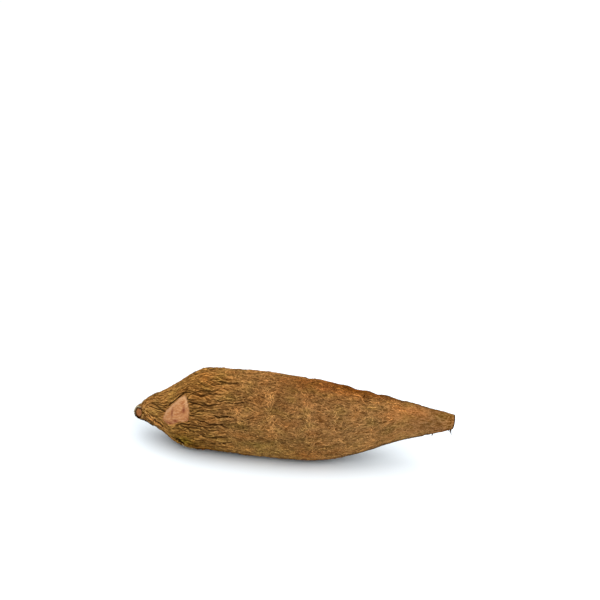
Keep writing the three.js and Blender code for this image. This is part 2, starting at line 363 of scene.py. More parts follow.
def make_skin():
    """The skin's height over the plain body and what lies where on it, each as a grid."""
    s, angle = np.meshgrid(S, A, indexing="ij")
    carried = angle + FLOW / along(s, RADIUS)
    half = smoothstep(60, 150, s)
    thin_end = smoothstep(2, 20, s) * (1 - smoothstep(LENGTH - 30, LENGTH, s))
    belly = np.abs(turn(-math.pi / 2, angle)) / BELLY_CALM
    rough = 0.2 + 0.8 * smoothstep(0.5, 1, belly)

    wobble = 0.7 * grain(s, angle, 4, 3, 31) + 0.3 * grain(s, angle, 1.8, 1.6, 32)
    off = patch_distance(s, angle) + wobble
    torn = 1 - smoothstep(-PATCH_STEP / 2, PATCH_STEP / 2, off)
    lip = PATCH_LIP * np.exp(-((off - 0.6 * PATCH_EDGE) / PATCH_EDGE) ** 2)

    height = lip - rough * RING_DEPTH * ring_grooves(s, angle)
    # Painted shade in the cracks, darker where they are deeper
    dark = np.zeros(s.shape)
    # Painted highlight on the cracks' lips
    edge = np.zeros(s.shape)
    for layer in CRACK_LAYERS.values():
        neck_depth, tail_depth = layer["depths"]
        depth = neck_depth + (tail_depth - neck_depth) * half
        deep, near = carve(layer)
        height -= rough * thin_end * depth * deep
        height += rough * thin_end * EDGE_SHARE * depth * near
        dark = np.maximum(dark, deep * np.clip(depth * 1.1, 0, 1) * (0.35 + 0.65 * thin_end))
        edge = np.maximum(edge, near * np.clip(depth, 0, 1) * thin_end)

    wavering = angle + PLACED_WAVER * grain(s, angle, 4, 3, 8) / along(s, RADIUS)
    for width, depth, darkness, path in PLACED_CRACKS:
        deep, near = path_depth(s, wavering, width, path)
        height += PLACED_EDGE_RISE * near - depth * deep
        dark = np.maximum(dark, darkness * deep)
        edge = np.maximum(edge, near)

    swell = grain(s, angle, 38, 15, 1)
    plates = grain(s, carried, 12, 3.4, 2)
    fibres = 1 - 2.2 * np.abs(grain(s, carried, 6.5, 2.6, 3))
    scales = grain(s, carried, 3.2, 1.6, 4)
    tail = smoothstep(200, 235, s)
    # Painted shade on the last rim of skin before the tail's cut
    dark = np.maximum(dark, 0.75 * np.exp(-((LENGTH - s) / 1.3) ** 2))
    height += 0.4 * swell
    height += (0.36 - 0.16 * half - 0.06 * tail) * plates
    height += (0.34 - 0.14 * half - 0.04 * tail) * fibres
    height += (0.14 + 0.06 * half - 0.08 * tail) * scales

    bare = 0.35 * grain(s, angle, 9, 6, 5) + 0.12 * grain(s, angle, 2.5, 2.2, 6)
    height = height * (1 - torn) + (bare * 0.5 - PATCH_DEPTH) * torn
    dark *= 1 - 0.6 * smoothstep(185, 212, s) * (1 - smoothstep(LENGTH - 5, LENGTH - 2, s))

    # The torn patch is paler along its edge, most of all towards the top and the neck
    pale = torn * smoothstep(-3.2, -0.4, off)
    pale = pale * smoothstep(-6, 30, np.degrees(turn(0, angle)) - s + 33)
    return dict(
        height=lumps(s, angle) + height,
        dark=dark * (1 - torn),
        edge=edge * (1 - torn),
        ridge=smoothstep(0.45, 0.95, fibres) * (1 - torn) * rough,
        streak=np.clip(ring_grooves(s, carried, STREAK_WIDTH) * smoothstep(70, 90, s), 0, 1),
        torn=torn,
        pale=pale,
    )


SKIN = make_skin()


def sampled(name, s, angle):
    """A grid of the skin's, read between its points."""
    grid = SKIN[name]
    v = angle / TURN_STEP % COLUMNS
    i = np.clip(np.searchsorted(S, s) - 1, 0, ROWS - 2)
    j = np.floor(v).astype(int) % COLUMNS
    fu, fv = np.clip((s - S[i]) / (S[i + 1] - S[i]), 0, 1), v - np.floor(v)
    after = (j + 1) % COLUMNS
    low = grid[i, j] * (1 - fv) + grid[i, after] * fv
    high = grid[i + 1, j] * (1 - fv) + grid[i + 1, after] * fv
    return low * (1 - fu) + high * fu


def body_point(s, angle, height, shrink=1.0):
    """A point of the root in its own measures, height millimetres over the plain body."""
    radius = shrink * (along(s, RADIUS) + height)
    y = -radius * np.cos(angle)
    z = radius * np.sin(angle)
    neck = 1 - smoothstep(0, NECK_CUT_REACH, s)
    tail = smoothstep(LENGTH - TAIL_CUT_REACH, LENGTH, s)
    scar = float(along(0, RADIUS))
    x = s + neck * (NECK_CUT_RAKE * np.clip(z, -scar, scar) - NECK_CUT_SLANT * np.clip(y, -scar, scar))
    x = x + tail * (TAIL_UNDERCUT * z - TAIL_CUT_SLANT * y)
    return np.stack(np.broadcast_arrays(x, along(s, CENTRE_Y) + y, along(s, CENTRE_Z) + z), -1)


LOWEST = float((STATIONS[:, CENTRE_Z] - STATIONS[:, RADIUS]).min())


def find_place():
    """What moves the root's own measures to the frame of the solid, from the solid's box."""
    points = body_point(S[:, None], A[None, :], SKIN["height"]).reshape(-1, 3)
    middle = (points.min(0) + points.max(0)) / 2
    low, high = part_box(NODE)
    target = (np.array(low) + np.array(high)) / 2 / MM
    return np.array([target[0] - middle[0], target[1] - middle[1], low[2] / MM - LOWEST - FLAT_DEPTH])


PLACE = find_place()


def placed(points):
    """Points in the frame, in metres, none of them under the floor."""
    moved = points + PLACE
    moved[..., 2] = np.maximum(moved[..., 2], 0)
    return moved * MM


def on_skin(s, angle, lift):
    """Points that stand lift millimetres over the finished skin."""
    return placed(body_point(s, angle, sampled("height", s, angle) + lift))


def new_piece(name, points, faces, material):
    """A mesh from an array of points and a list of arrays of faces, riding on the root."""
    mesh = bpy.data.meshes.new(name)
    corners = np.concatenate([f.ravel() for f in faces])
    sizes = np.concatenate([np.full(len(f), f.shape[1]) for f in faces])
    mesh.vertices.add(len(points))
    mesh.vertices.foreach_set("co", points.astype(np.float32).ravel())
    mesh.loops.add(len(corners))
    mesh.loops.foreach_set("vertex_index", corners.astype(np.int32))
    mesh.polygons.add(len(sizes))
    starts = np.concatenate([[0], np.cumsum(sizes)[:-1]])
    mesh.polygons.foreach_set("loop_start", starts.astype(np.int32))
    mesh.polygons.foreach_set("use_smooth", np.ones(len(sizes), bool))
    mesh.update(calc_edges=True)
    mesh.validate()
    mesh.materials.append(material)
    piece = bpy.data.objects.new(name, mesh)
    bpy.context.scene.collection.objects.link(piece)
    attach(piece, BODY)
    return piece


def set_attribute(piece, name, values):
    """Writes one number, vector or colour for each point of a piece."""
    kind, field = {1: ("FLOAT", "value"), 3: ("FLOAT_VECTOR", "vector"), 4: ("FLOAT_COLOR", "color")}[
        1 if values.ndim == 1 else values.shape[1]
    ]
    attribute = piece.data.attributes.new(name, kind, "POINT")
    attribute.data.foreach_set(field, values.astype(np.float32).ravel())


def linear(red, green, blue):
    """A screen colour from 0 to 255 as the amounts of light that the shaders work in."""
    c = np.array([red, green, blue]) / 255
    return tuple(np.where(c <= 0.04045, c / 12.92, ((c + 0.055) / 1.055) ** 2.4))


# Colours of the bark, the torn patch, the scar and the cut
BARK = linear(64, 32, 0)
BARK_LIGHT = linear(142, 95, 36)
BARK_DARK = linear(38, 14, 0)
GOLD = linear(176, 129, 76)
# Painted shade in the cracks, also the root hairs' own dark brown, then near-black painted shade in the
# slit
CRACK_SHADE_AND_HAIR_BROWN = linear(33, 12, 0)
SLIT_SHADE = linear(8, 3, 0)
BARE = linear(178, 122, 78)
BARE_LIGHT = linear(214, 168, 122)
BARE_DEEP = linear(156, 98, 60)
BARE_STAIN = linear(118, 60, 40)
SCAR = linear(172, 112, 68)
# The neck's torn bark edge: its own pale colour, with a painted highlight
SILVER = linear(208, 192, 158)
FLESH = linear(226, 214, 178)
RIND = linear(214, 176, 150)

# Where the bark's colour drifts, and where shade is painted on it: distance from the neck, degrees,
# reach along, degrees wide, tint
TINT_DRIFTS_AND_PAINTED_SHADE = [
    # The first three darken the top of the tail's half: its red-brown colour, with painted shade
    (172, 101, 30, 26, (0.64, 0.42, 0.2)),
    (218, 122, 34, 26, (0.34, 0.27, 0.2)),
    (176, 124, 26, 17, (0.5, 0.36, 0.26)),
    # Painted shade on the top, with a little red of the bark's own
    (138, 88, 22, 24, (0.86, 0.7, 0.56)),
    (214, 52, 12, 26, (1.14, 0.98, 0.9)),
    (240, -35, 6, 24, (0.9, 0.8, 0.92)),
    (232, 10, 24, 90, (0.84, 0.86, 1.06)),
    (186, 20, 26, 46, (1.02, 1.08, 1.16)),
    (150, 30, 30, 50, (0.94, 0.94, 1.0)),
    (18, 50, 20, 80, (1.56, 1.56, 1.4)),
    (6, -70, 11, 38, (0.55, 0.5, 0.45)),
    (62, 76, 24, 34, (1.26, 1.2, 1.0)),
    (46, 10, 26, 90, (1.04, 1.0, 0.84)),
    (46, -34, 9, 18, (0.92, 1.08, 0.6)),
    (62, -52, 10, 13, (1.06, 0.86, 0.62)),
    (74, -40, 26, 30, (0.98, 1.0, 0.86)),
    (118, -30, 20, 24, (0.94, 1.06, 0.96)),
    (142, -38, 16, 16, (1.06, 0.9, 0.76)),
    (100, 200, 40, 60, (1.05, 0.92, 0.84)),
    (200, 230, 30, 60, (0.96, 0.98, 0.92)),
    (60, 250, 30, 50, (0.9, 0.9, 0.84)),
]


# Painted shade on the lower side: the bark is painted darker towards the belly. The degrees below
# the front from which it starts, and at which it is full, and the share of tone that it takes.
# Each has what the tail's half adds to it.
# The degrees are counted from the front alone, so at half a turn, along the back, the darkness
# doesn't fade in but starts at full, with a sharp edge.
BELLY_FROM = (32, 4)
BELLY_FULL = (70, -9)
BELLY_PAINTED_SHADE = (0.44, 0.3)


def tints(s, angle):
    """The bark's colour at each point, as a tint, with painted shade low down and on parts of the top.
    """
    tint = np.ones(s.shape + (3,))
    for at, degrees, reach, spread, colour in TINT_DRIFTS_AND_PAINTED_SHADE:
        round_ = np.degrees(turn(math.radians(degrees), angle)) / spread
        weight = np.exp(-((s - at) / reach) ** 2 - round_ ** 2)[..., None]
        tint *= 1 + weight * (np.array(colour) - 1)
    drift = grain(s, angle, 22, 12, 41)[..., None]
    warm = grain(s, angle, 12, 7, 42)
    # Painted shade: the bark painted darker towards the belly
    low_tail = smoothstep(140, 180, s)
    start, full, shade = (near_neck + more * low_tail
                          for near_neck, more in (BELLY_FROM, BELLY_FULL, BELLY_PAINTED_SHADE))
    belly = smoothstep(start, full, -np.degrees(turn(0, angle))) * shade
    tint *= (1 + 0.17 * drift) * (1 - belly[..., None])
    tint *= np.stack([1 + 0.09 * warm, 1 - 0.03 * warm, 1 - 0.12 * np.abs(warm)], -1)
    return tint


# The numbers that the bark's material reads at each point
FIELDS = [
    "dark", "light", "torn", "pale", "stain", "scar", "cut", "rim", "silver", "slender", "far", "fine",
]


def bark_attributes(piece, s, angle, dark=0.0, light=0.0, tone=1.0, **fields):
    """Gives a piece what the bark's material reads."""
    tint = tints(s, angle) * np.asarray(tone)[..., None]
    set_attribute(piece, "tint", np.concatenate([tint, np.ones((len(s), 1))], 1))
    radius = along(s, RADIUS)
    carried = angle + flow(s, angle) / radius
    for name, at in (("grain_body", GRAIN_RADII[0]), ("grain_tip", GRAIN_RADII[2])):
        set_attribute(piece, name, np.stack([s, at * np.cos(carried), at * np.sin(carried)], -1))
    fields.update(dark=dark, light=light, slender=1 - smoothstep(8, 20, radius),
                  far=smoothstep(60, 115, s), fine=1 - 0.75 * smoothstep(190, 222, s))
    for name in FIELDS:
        values = np.asarray(fields.get(name, 0.0), float)
        set_attribute(piece, name, np.broadcast_to(values, s.shape).copy())


class Nodes:
    """A material's nodes, each made with its inputs in one call."""

    def __init__(self, name):
        self.material = bpy.data.materials.new(name)
        self.material.use_nodes = True
        self.tree = self.material.node_tree
        self.tree.nodes.clear()
        self.output = self.tree.nodes.new("ShaderNodeOutputMaterial")

    def add(self, kind, inputs=(), output=0, **settings):
        node = self.tree.nodes.new("ShaderNode" + kind)
        for key, value in settings.items():
            setattr(node, key, value)
        for key, value in dict(inputs).items():
            socket = node.inputs[key]
            if isinstance(value, bpy.types.NodeSocket):
                self.tree.links.new(value, socket)
            elif hasattr(value, "__len__") and len(value) == 3 and socket.type == "RGBA":
                socket.default_value = (*value, 1)
            else:
                socket.default_value = value
        return node.outputs[output]

    def attribute(self, name, output="Fac"):
        return self.add("Attribute", output=output, attribute_name=name)

    def math(self, operation, a, b=0.0):
        return self.add("Math", {0: a, 1: b}, operation=operation)

    def scaled(self, vector, scale):
        return self.add("VectorMath", {0: vector, 1: scale}, operation="MULTIPLY")

    def noise(self, vector, scale=1.0, detail=3.0, roughness=0.55, distortion=0.0):
        return self.add("TexNoise", {"Vector": vector, "Scale": scale, "Detail": detail,
                                     "Roughness": roughness, "Distortion": distortion})

    def range(self, value, low, high, to_low=0.0, to_high=1.0):
        return self.add("MapRange", {"Value": value, "From Min": low, "From Max": high,
                                     "To Min": to_low, "To Max": to_high},
                        interpolation_type="SMOOTHSTEP")

    def mix(self, factor, a, b, blend="MIX"):
        return self.add("Mix", {0: factor, 6: a, 7: b}, output=2, data_type="RGBA", blend_type=blend)

    def number_mix(self, factor, a, b):
        return self.add("Mix", {0: factor, 2: a, 3: b}, data_type="FLOAT")


BUMP_STRENGTH = 0.75
BUMP_DISTANCE = 0.0006


def bark_material():
    """Bark, torn patch, neck scar and cut flesh in one, as the attributes say."""
    n = Nodes("bark")
    body = n.attribute("grain_body", "Vector")
    tip = n.attribute("grain_tip", "Vector")
    slender = n.attribute("slender")

    def grained(length, width, detail=3.0, distortion=0.0):
        """Noise stretched along the root, the same size where the root is thin."""
        scale = (1 / length, 1 / width, 1 / width)
        wide = n.noise(n.scaled(body, scale), detail=detail, distortion=distortion)
        thin = n.noise(n.scaled(tip, scale), detail=detail, distortion=distortion)
        return n.number_mix(slender, wide, thin)

    def lines(noise, width):
        """Thin wavy lines where a noise passes its middle."""
        off = n.math("ABSOLUTE", n.math("SUBTRACT", noise, 0.5))
        return n.range(off, 0.2 * width, width, 1, 0)

    def layered(under, amount, strength, over):
        """One colour over another, as far as an amount and a strength say."""
        return n.mix(n.math("MULTIPLY", amount, strength), under, over)

    tint = n.attribute("tint", "Color")
    far = n.attribute("far")
    fine = n.attribute("fine")
    strands = grained(5.5, 1.5, 3.0, 0.35)
    threads = grained(2.6, 0.8, 2.0, 0.2)
    blotches = grained(9.0, 5.0, 3.0, 0.6)
    specks = grained(1.3, 1.1, 2.0)
    wavy = n.number_mix(far, grained(10.0, 2.5, 1.5, 0.5), grained(7.0, 3.4, 2.0, 1.8))
    crazed = n.number_mix(far, grained(8.5, 2.0, 1.5, 0.4), grained(7.0, 2.8, 2.0, 1.4))
    light = n.mix(1.0, BARK_LIGHT, tint, "MULTIPLY")
    gold = n.mix(1.0, GOLD, tint, "MULTIPLY")
    shade = n.mix(1.0, BARK_DARK, tint, "MULTIPLY")

    colour = n.mix(1.0, BARK, tint, "MULTIPLY")
    darker = n.math("MULTIPLY", fine, 0.64)
    colour = layered(colour, n.range(blotches, 0.36, 0.6, 1, 0), darker, shade)
    colour = layered(colour, n.range(strands, 0.52, 0.72), 0.4, light)
    colour = layered(colour, n.range(strands, 0.3, 0.46, 1, 0), darker, shade)
    colour = layered(colour, n.range(threads, 0.32, 0.48, 1, 0), n.math("MULTIPLY", fine, 0.4), shade)
    colour = layered(colour, lines(crazed, 0.055), n.math("MULTIPLY", fine, 0.75), shade)
    colour = layered(colour, n.math("SUBTRACT", 1.0, fine), 0.42, light)
    colour = layered(colour, lines(wavy, 0.05), n.number_mix(far, 0.72, 0.66), gold)
    colour = layered(colour, n.range(specks, 0.6, 0.72), 0.35, light)
    # On the skin, light is a painted highlight on the cracks' lips; on strands it is their own paler
    # tone
    colour = layered(colour, n.attribute("light"), 0.7, gold)
    # Painted shade in the cracks; the root hairs take the same dark brown as their own colour
    crack = n.range(n.math("ADD", n.attribute("dark"), n.math("MULTIPLY", strands, 0.3)), 0.38, 0.8)
    colour = n.mix(n.math("MULTIPLY", crack, 0.82), colour, CRACK_SHADE_AND_HAIR_BROWN)
    # Near-black painted shade in the deep slit
    colour = n.mix(n.range(n.attribute("dark"), *SLIT_DARKNESS), colour, SLIT_SHADE)

    bare = n.mix(n.range(blotches, 0.35, 0.65), BARE, BARE_DEEP)
    bare = n.mix(n.math("MULTIPLY", n.range(strands, 0.3, 0.45, 1, 0), 0.3), bare, BARE_STAIN)
    bare = n.mix(n.math("MULTIPLY", n.range(threads, 0.5, 0.66), 0.5), bare, BARE_LIGHT)
    bare = n.mix(n.math("MULTIPLY", n.attribute("pale"), 0.6), bare, BARE_LIGHT)
    bare = n.mix(n.attribute("stain"), bare, BARE_STAIN)
    colour = n.mix(n.attribute("torn"), colour, bare)
    scar = n.mix(n.math("MULTIPLY", n.range(specks, 0.45, 0.7), 0.6), SCAR, BARK_DARK)
    colour = n.mix(n.attribute("scar"), colour, scar)
    flesh = n.mix(n.range(specks, 0.45, 0.7), FLESH, RIND)
    flesh = n.mix(n.attribute("rim"), flesh, RIND)
    colour = n.mix(n.attribute("cut"), colour, flesh)
    # The pale torn edge, with a painted highlight
    colour = n.mix(n.attribute("silver"), colour, SILVER)

    smooth = n.math("MAXIMUM", n.attribute("torn"), n.attribute("cut"))
    height = n.math("ADD", n.math("MULTIPLY", strands, 0.6), n.math("MULTIPLY", threads, 0.35))
    height = n.math("ADD", height, n.math("MULTIPLY", specks, 0.15))
    bump = n.add("Bump", {"Strength": BUMP_STRENGTH, "Distance": BUMP_DISTANCE, "Height": height})
    roughness = n.number_mix(smooth, n.range(strands, 0.3, 0.7, 0.9, 0.72), 0.62)
    shader = n.add("BsdfPrincipled", {"Base Color": colour, "Roughness": roughness,
                                      "Specular IOR Level": 0.0, "Normal": bump})
    n.tree.links.new(shader, n.output.inputs["Surface"])
    return n.material


BARK_MATERIAL = bark_material()


def stains(s, angle):
    """How strongly each point is marked red-brown, from 0 to 1."""
    total = np.zeros(s.shape)
    for at, degrees, reach, spread in STAINS:
        round_ = np.degrees(turn(math.radians(degrees), angle)) / spread
        total += np.exp(-((s - at) / reach) ** 2 - round_ ** 2)
    return np.clip(total, 0, 1)


def silver_side(angle):
    """Where the bark's pale torn edge, with a painted highlight, shows on the neck, from 0 to 1."""
    return np.exp(-(np.degrees(turn(math.radians(165), angle)) / 70) ** 4)


def make_root():
    """The skin and the two ends, as one closed mesh."""
    s, angle = np.meshgrid(S, A, indexing="ij")
    skin = body_point(s, angle, SKIN["height"])
    facts = dict.fromkeys(("scar", "cut", "rim"), np.zeros(s.shape))
    # light on the skin: a painted highlight on the cracks' lips, and the fibres' crests made lighter
    facts.update(s=s, angle=angle, dark=SKIN["dark"], torn=SKIN["torn"], pale=SKIN["pale"],
                 light=np.maximum(SKIN["edge"], 0.7 * SKIN["ridge"]), stain=stains(s, angle),
                 silver=0.7 * np.exp(-(s / 0.6) ** 2) * silver_side(angle))

    def cap(end, shrinks, hollow, field):
        """The rings that close one end, and what lies on them."""
        at = np.full((len(shrinks), COLUMNS), S[end])
        round_ = np.broadcast_to(A, at.shape)
        height = np.broadcast_to(SKIN["height"][end], at.shape)
        shrink = shrinks[:, None]
        rough = 0.25 * grain(at + 30 * shrink, round_, 1.5, 1.2, 51)
        points = body_point(at, round_, height, shrink)
        points[..., 0] += hollow * (1 - shrink ** 2) + rough * (shrink < 0.95)
        zero = np.zeros(at.shape)
        fact = dict.fromkeys(facts, zero)
        fact.update(s=at, angle=round_, rim=smoothstep(0.6, 0.8, shrink) + zero)
        fact[field] = 1 - smoothstep(0.9, 0.97, shrink) + zero
        if end == 0:
            fact["scar"] = 0.9 - 0.9 * smoothstep(0.45, 0.74, shrink) + zero
            # The pale torn edge on the scar's rim, with a painted highlight
            fact["silver"] = 0.8 * smoothstep(0.82, 0.9, shrink) * silver_side(round_)
            # Painted shade round the scar's rim, except on the pale torn edge
            fact["dark"] = smoothstep(0.4, 0.65, shrink) * (1 - fact["silver"])
        return points, fact

    neck, neck_facts = cap(0, CAP_RINGS[::-1], NECK_SCAR_HOLLOW, "scar")
    tail, tail_facts = cap(-1, CAP_RINGS, -TAIL_CUT_HOLLOW, "cut")
    grid = np.concatenate([neck, skin, tail])
    facts = {k: np.concatenate([neck_facts[k], facts[k], tail_facts[k]]).ravel() for k in facts}
    middles = [body_point(0.0, 0.0, 0.0, 0.0), body_point(LENGTH, 0.0, 0.0, 0.0)]
    middles[0][0] += NECK_SCAR_HOLLOW
    middles[1][0] -= TAIL_CUT_HOLLOW
    points = placed(np.concatenate([grid.reshape(-1, 3), middles]))
    for k in facts:
        facts[k] = np.append(facts[k], [facts[k][0], facts[k][-1]])

    rows = len(grid)
    i, j = np.meshgrid(np.arange(rows - 1), np.arange(COLUMNS), indexing="ij")
    after = (j + 1) % COLUMNS
    quads = np.stack([i * COLUMNS + j, (i + 1) * COLUMNS + j,
                      (i + 1) * COLUMNS + after, i * COLUMNS + after], -1).reshape(-1, 4)
    j = np.arange(COLUMNS)
    after = (j + 1) % COLUMNS
    neck_middle, tail_middle = rows * COLUMNS, rows * COLUMNS + 1
    last = (rows - 1) * COLUMNS
    fans = np.concatenate([
        np.stack([np.full(COLUMNS, neck_middle), j, after], -1),
        np.stack([np.full(COLUMNS, tail_middle), last + after, last + j], -1),
    ])
    piece = new_piece("cassava_root_skin", points, [quads, fans], BARK_MATERIAL)
    bark_attributes(piece, **facts)
    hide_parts(NODE)


def scatter(count, seed, first=4.0, last=LENGTH - 6):
    """Random places on the skin, as many on each square millimetre."""
    random = np.random.default_rng(seed)
    s = random.uniform(first, last, 3 * count)
    s = s[random.uniform(0, 1, len(s)) < along(s, RADIUS) / LARGEST_RADIUS][:count]
    return random, s, random.uniform(0, 2 * math.pi, len(s))


def narrowed(s, least, full=18):
    """How much smaller strands are where the root's radius is under the full one."""
    return np.clip(along(s, RADIUS) / full, least, 1)


def swirl(s, angle):
    """How far the fibres of a place turn from lengthwise together, most of all past the neck's third."""
    turned = 0.9 * grain(s, angle, 9, 7, 91) + 0.5 * grain(s, angle, 4.5, 4, 92)
    return turned * (0.2 + 0.8 * smoothstep(60, 110, s)) * (1 - 0.5 * smoothstep(195, 225, s))


def lay_fibres(count, seed):
    """Long fibres that follow the grain: place, heading from lengthwise, length, width, tone, bow."""
    random, s, angle = scatter(count, seed)
    heading = swirl(s, angle) + random.normal(0, 1, len(s)) * (0.1 + 0.1 * smoothstep(60, 120, s))
    length = random.uniform(3.5, 9, len(s)) * (1 - 0.3 * smoothstep(80, 140, s))
    width = random.uniform(0.45, 0.85, len(s)) * narrowed(s, 0.55)
    tone = np.exp(random.normal(-0.05, 0.3 - 0.18 * smoothstep(190, 225, s)))
    return on_bark(s, angle, heading, length, width, tone, random.normal(0, 0.06, len(s)))


def lay_flecks(count, seed):
    """Short light flecks that swirl, crosswise where a ring of them runs round the root."""
    random, s, angle = scatter(count, seed)
    few = 0.35 + 0.65 * smoothstep(60, 110, s)
    streak = sampled("streak", s, angle)
    keep = random.uniform(0, 1, len(s)) < few
    s, angle, streak = s[keep], angle[keep], streak[keep]
    across = random.uniform(0, 1, len(s)) < 0.8 * streak
    heading = 1.3 * swirl(s, angle) + random.normal(0, 0.2 + 0.2 * smoothstep(60, 110, s))
    heading = np.where(across, random.normal(math.pi / 2, 0.45, len(s)), heading)
    length = random.uniform(2.5, 8, len(s))
    width = random.uniform(0.45, 0.8, len(s)) * narrowed(s, 0.6)
    spread = 0.34 - 0.2 * smoothstep(190, 225, s)
    tone = np.exp(random.normal(0.2, spread)) * np.where(across, 1.2, 1)
    return on_bark(s, angle, heading, length, width, tone, random.normal(0, 0.22, len(s)))


# Loose shreds under the neck, over the torn patch and at the top edge: distance from the neck,
# degrees round, degrees from lengthwise, length, width, tone, bow
SHREDS = [
    (12, 0, -34, 9, 1.1, 1.7, 0.02),
    (18, -5, -26, 10, 1.1, 1.7, -0.03),
    (25, -9, -16, 9, 1.0, 1.6, 0.03),
    (14, -13, -20, 9, 1.1, 1.5, 0.02),
    (22, -18, -14, 10, 1.1, 1.5, 0.02),
    (29.5, -20, -10, 8, 1.0, 1.5, 0.04),
    (17, -9, -26, 13, 1.0, 0.25, 0.02),
    (25, -14, -16, 10, 0.9, 0.25, 0.02),
    (11, 6, -24, 8, 0.9, 1.6, 0.05),
    (3.5, -64, 8, 8, 1.3, 0.35, 0.08),
    (8.5, -62, -6, 9, 1.2, 0.3, -0.06),
    (13, -58, 10, 7, 1.0, 0.4, 0.05),
    (2.5, -48, 30, 5, 1.0, 0.4, 0.1),
    (38, 46, 28, 9, 0.7, 1.5, 0.03),
    (176, 80, -30, 9, 1.2, 2.4, 0.1),
    (181, 74, -40, 8, 1.1, 2.2, -0.05),
]

# Pale edges of torn bark under the deep slit and at the neck, with a painted highlight, told in the same
# way
PALE_EDGES = [
    (44.5, -53, -20, 8, 1.4, 1.1, 0.03),
    (49.5, -57, -12, 8, 1.2, 1.1, 0.02),
    (4.5, 118, 20, 7, 1.1, 0.9, 0.06),
]


def lay_each(placed_shreds):
    """Strands that are each placed one by one."""
    s, angle, heading, *rest = (np.array(column, float) for column in zip(*placed_shreds))
    return s, np.radians(angle), np.radians(heading), *rest


# How the ring flecks are shared out over the rings
RING_SHARES = [0, 0.2, 0.24, 0.12, 0.18, 0.14, 0.06, 0.06, 0]


def lay_ring_flecks(count, seed):
    """Light flecks that zigzag along parts of the rings round the root."""
    random = np.random.default_rng(seed)
    ring = random.choice(len(RING_GROOVES), count, p=RING_SHARES)
    angle = random.uniform(0, 2 * math.pi, count)
    there = np.sin(3 * angle + 1.7 * ring) + np.sin(angle + 2.3 * ring)
    ring, angle = ring[there > -0.3], angle[there > -0.3]
    count = len(ring)
    at = np.array(RING_GROOVES)[ring]
    wander = np.sin(2 * angle + ring) + 0.4 * np.sin(5 * angle + 2 * ring)
    s = at + RING_WANDER * wander + random.normal(0, 1.3, count)
    heading = random.choice([-1, 1], count) * random.uniform(0.7, 1.5, count)
    length = random.uniform(1.8, 4, count)
    width = random.uniform(0.55, 0.85, count) * narrowed(s, 0.6)
    tone = np.exp(random.normal(0.2, 0.22, count))
    return on_bark(s, angle, heading, length, width, tone, random.normal(0, 0.16, count))


# Zigzags of light flecks across the root: places as distance from the neck with degrees, and count
ZIGZAGS = [
    ([(112, 62), (115, 34), (118, 6)], 78),
    ([(139, 64), (144, 36), (147, 14)], 58),
    ([(92, 42), (89, 20), (93, -6)], 26),
    ([(161, 54), (164, 30), (162, 4)], 18),
    ([(121, 4), (122, -12), (126, -34)], 26),
]


def lay_zigzags(seed):
    """Light flecks scattered along the zigzags' paths."""
    random = np.random.default_rng(seed)
    columns = []
    for path, count in ZIGZAGS:
        places, degrees = np.array(path, float).T
        t = random.uniform(0, 1, count) * (len(path) - 1)
        s = np.interp(t, range(len(path)), places) + random.normal(0, 1.9, count)
        angle = np.radians(np.interp(t, range(len(path)), degrees))
        heading = random.choice([-1, 1], count) * random.uniform(0.6, 1.3, count)
        length = random.uniform(2.5, 5, count)
        width = random.uniform(0.6, 0.9, count)
        tone = np.exp(random.normal(0.34, 0.22, count))
        columns.append((s, angle, heading, length, width, tone, random.normal(0, 0.15, count)))
    return on_bark(*(np.concatenate(column) for column in zip(*columns)))


def lay_long_fibres(count, seed):
    """Fine light fibres past the shoulder, longer than the rest and swirling less."""
    random, s, angle = scatter(count, seed, 70, 225)
    heading = 0.7 * swirl(s, angle) + random.normal(0, 0.14, len(s))
    length = random.uniform(7, 15, len(s)) * narrowed(s, 0.6, 24)
    width = random.uniform(0.45, 0.7, len(s)) * narrowed(s, 0.7)
    tone = np.exp(random.normal(0.15, 0.25, len(s)))
    return on_bark(s, angle, heading, length, width, tone, random.normal(0, 0.12, len(s)))


def lay_streaks(count, seed):
    """Lengthwise streaks on the red-brown top of the tail's half."""
    random = np.random.default_rng(seed)
    s = random.uniform(150, 212, count)
    angle = np.radians(random.normal(88, 15, count))
    heading = random.normal(0, 0.13, count)
    length = random.uniform(5, 12, count)
    width = random.uniform(0.7, 1.1, count)
    tone = np.exp(random.normal(0.35, 0.5, count))
    return on_bark(s, angle, heading, length, width, tone, random.normal(0, 0.08, count))


def lay_hem(count, seed):
    """Light fibres low on the front."""
    random = np.random.default_rng(seed)
    s = random.uniform(90, 196, count)
    angle = np.radians(random.uniform(-66, -44, count))
    heading = random.normal(0, 0.12, count)
    length = random.uniform(3.5, 9, count)
    width = random.uniform(0.5, 0.85, count)
    tone = np.exp(random.normal(0.5, 0.3, count))
    return on_bark(s, angle, heading, length, width, tone, random.normal(0, 0.08, count))


def on_bark(s, angle, heading, length, *rest):
    """Leaves out what would lie on the torn patch or over a crack."""
    keep = np.ones(len(s), bool)
    for part in (-0.35, 0, 0.35):
        at = np.clip(s + part * length * np.cos(heading), 0, LENGTH)
        round_ = angle + part * length * np.sin(heading) / along(s, RADIUS)
        keep &= (sampled("torn", at, round_) < 0.02) & (sampled("dark", at, round_) < 0.5)
    return tuple(x[keep] for x in (s, angle, heading, length, *rest))


STRAND_STATIONS = np.array([-1, -0.6, -0.2, 0.2, 0.6, 1])
STRAND_SINK = 0.25
STRAND_LIMITS = (1.5, LENGTH - 1)


